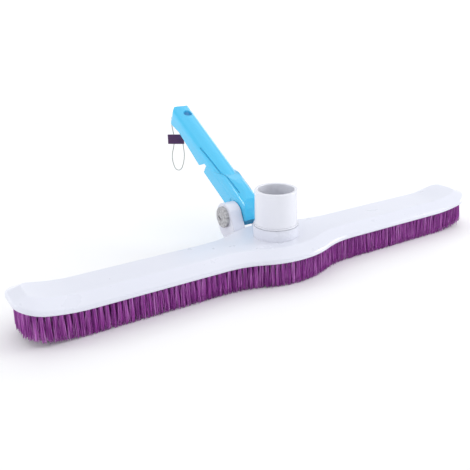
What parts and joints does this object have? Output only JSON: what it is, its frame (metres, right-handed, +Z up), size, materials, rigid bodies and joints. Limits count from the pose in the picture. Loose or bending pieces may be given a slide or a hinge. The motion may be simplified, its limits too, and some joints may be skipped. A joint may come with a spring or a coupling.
{
  "type": "pool wall brush",
  "caption": "Pool wall and floor brush: long body with upturned ends, two rings of stiff bristle tufts, a turning hose port and a hinged handle for a telescopic pole",
  "frame": {"origin": "on the floor under the middle of the whole brush, tips of the bristles at Z = 0", "axes": "+X along the brush body, +Y to the back where the handle leans, +Z up"},
  "size_m": [0.461, 0.2325, 0.1206],
  "materials": {
    "white_plastic": "smooth moulded, slightly glossy",
    "blue_plastic": "smooth moulded, glossy",
    "grey_plastic": "satin, faintly mottled",
    "bristle_nylon": "bundles of fine filaments",
    "screw_steel": "plain stainless",
    "staple_steel": "drawn wire",
    "cord_fibre": "fine twisted cord",
    "tab_webbing": "woven"
  },
  "bodies": {
    "brush": {"brush_body": "white_plastic", "outer_bristles_front": "bristle_nylon", "outer_bristles_rear": "bristle_nylon", "outer_bristles_left_end": "bristle_nylon", "outer_bristles_right_end": "bristle_nylon", "inner_bristles_front": "bristle_nylon", "inner_bristles_rear": "bristle_nylon", "inner_bristles_left_end": "bristle_nylon", "inner_bristles_right_end": "bristle_nylon", "outer_tuft_anchors": "staple_steel", "inner_tuft_anchors": "staple_steel", "underside_plate": "white_plastic", "underside_plate_screws": "screw_steel", "pivot_bolt": "grey_plastic", "pivot_nut": "grey_plastic"},
    "port": {"hose_port_tube": "white_plastic"},
    "handle": {"pole_handle": "blue_plastic", "hang_cord": "cord_fibre", "hang_tab": "tab_webbing"}
  },
  "joints": [
    {"name": "handle_pivot", "type": "hinge", "parent": "brush", "child": "handle", "pos_m": [0, -0.01957, 0.0378], "axis": [1, 0, 0], "range_deg": [-90, 40]},
    {"name": "port_swivel", "type": "hinge", "parent": "brush", "child": "port", "pos_m": [0, -0.07157, 0.0378], "axis": [0, 0, 1], "continuous": true}
  ]
}
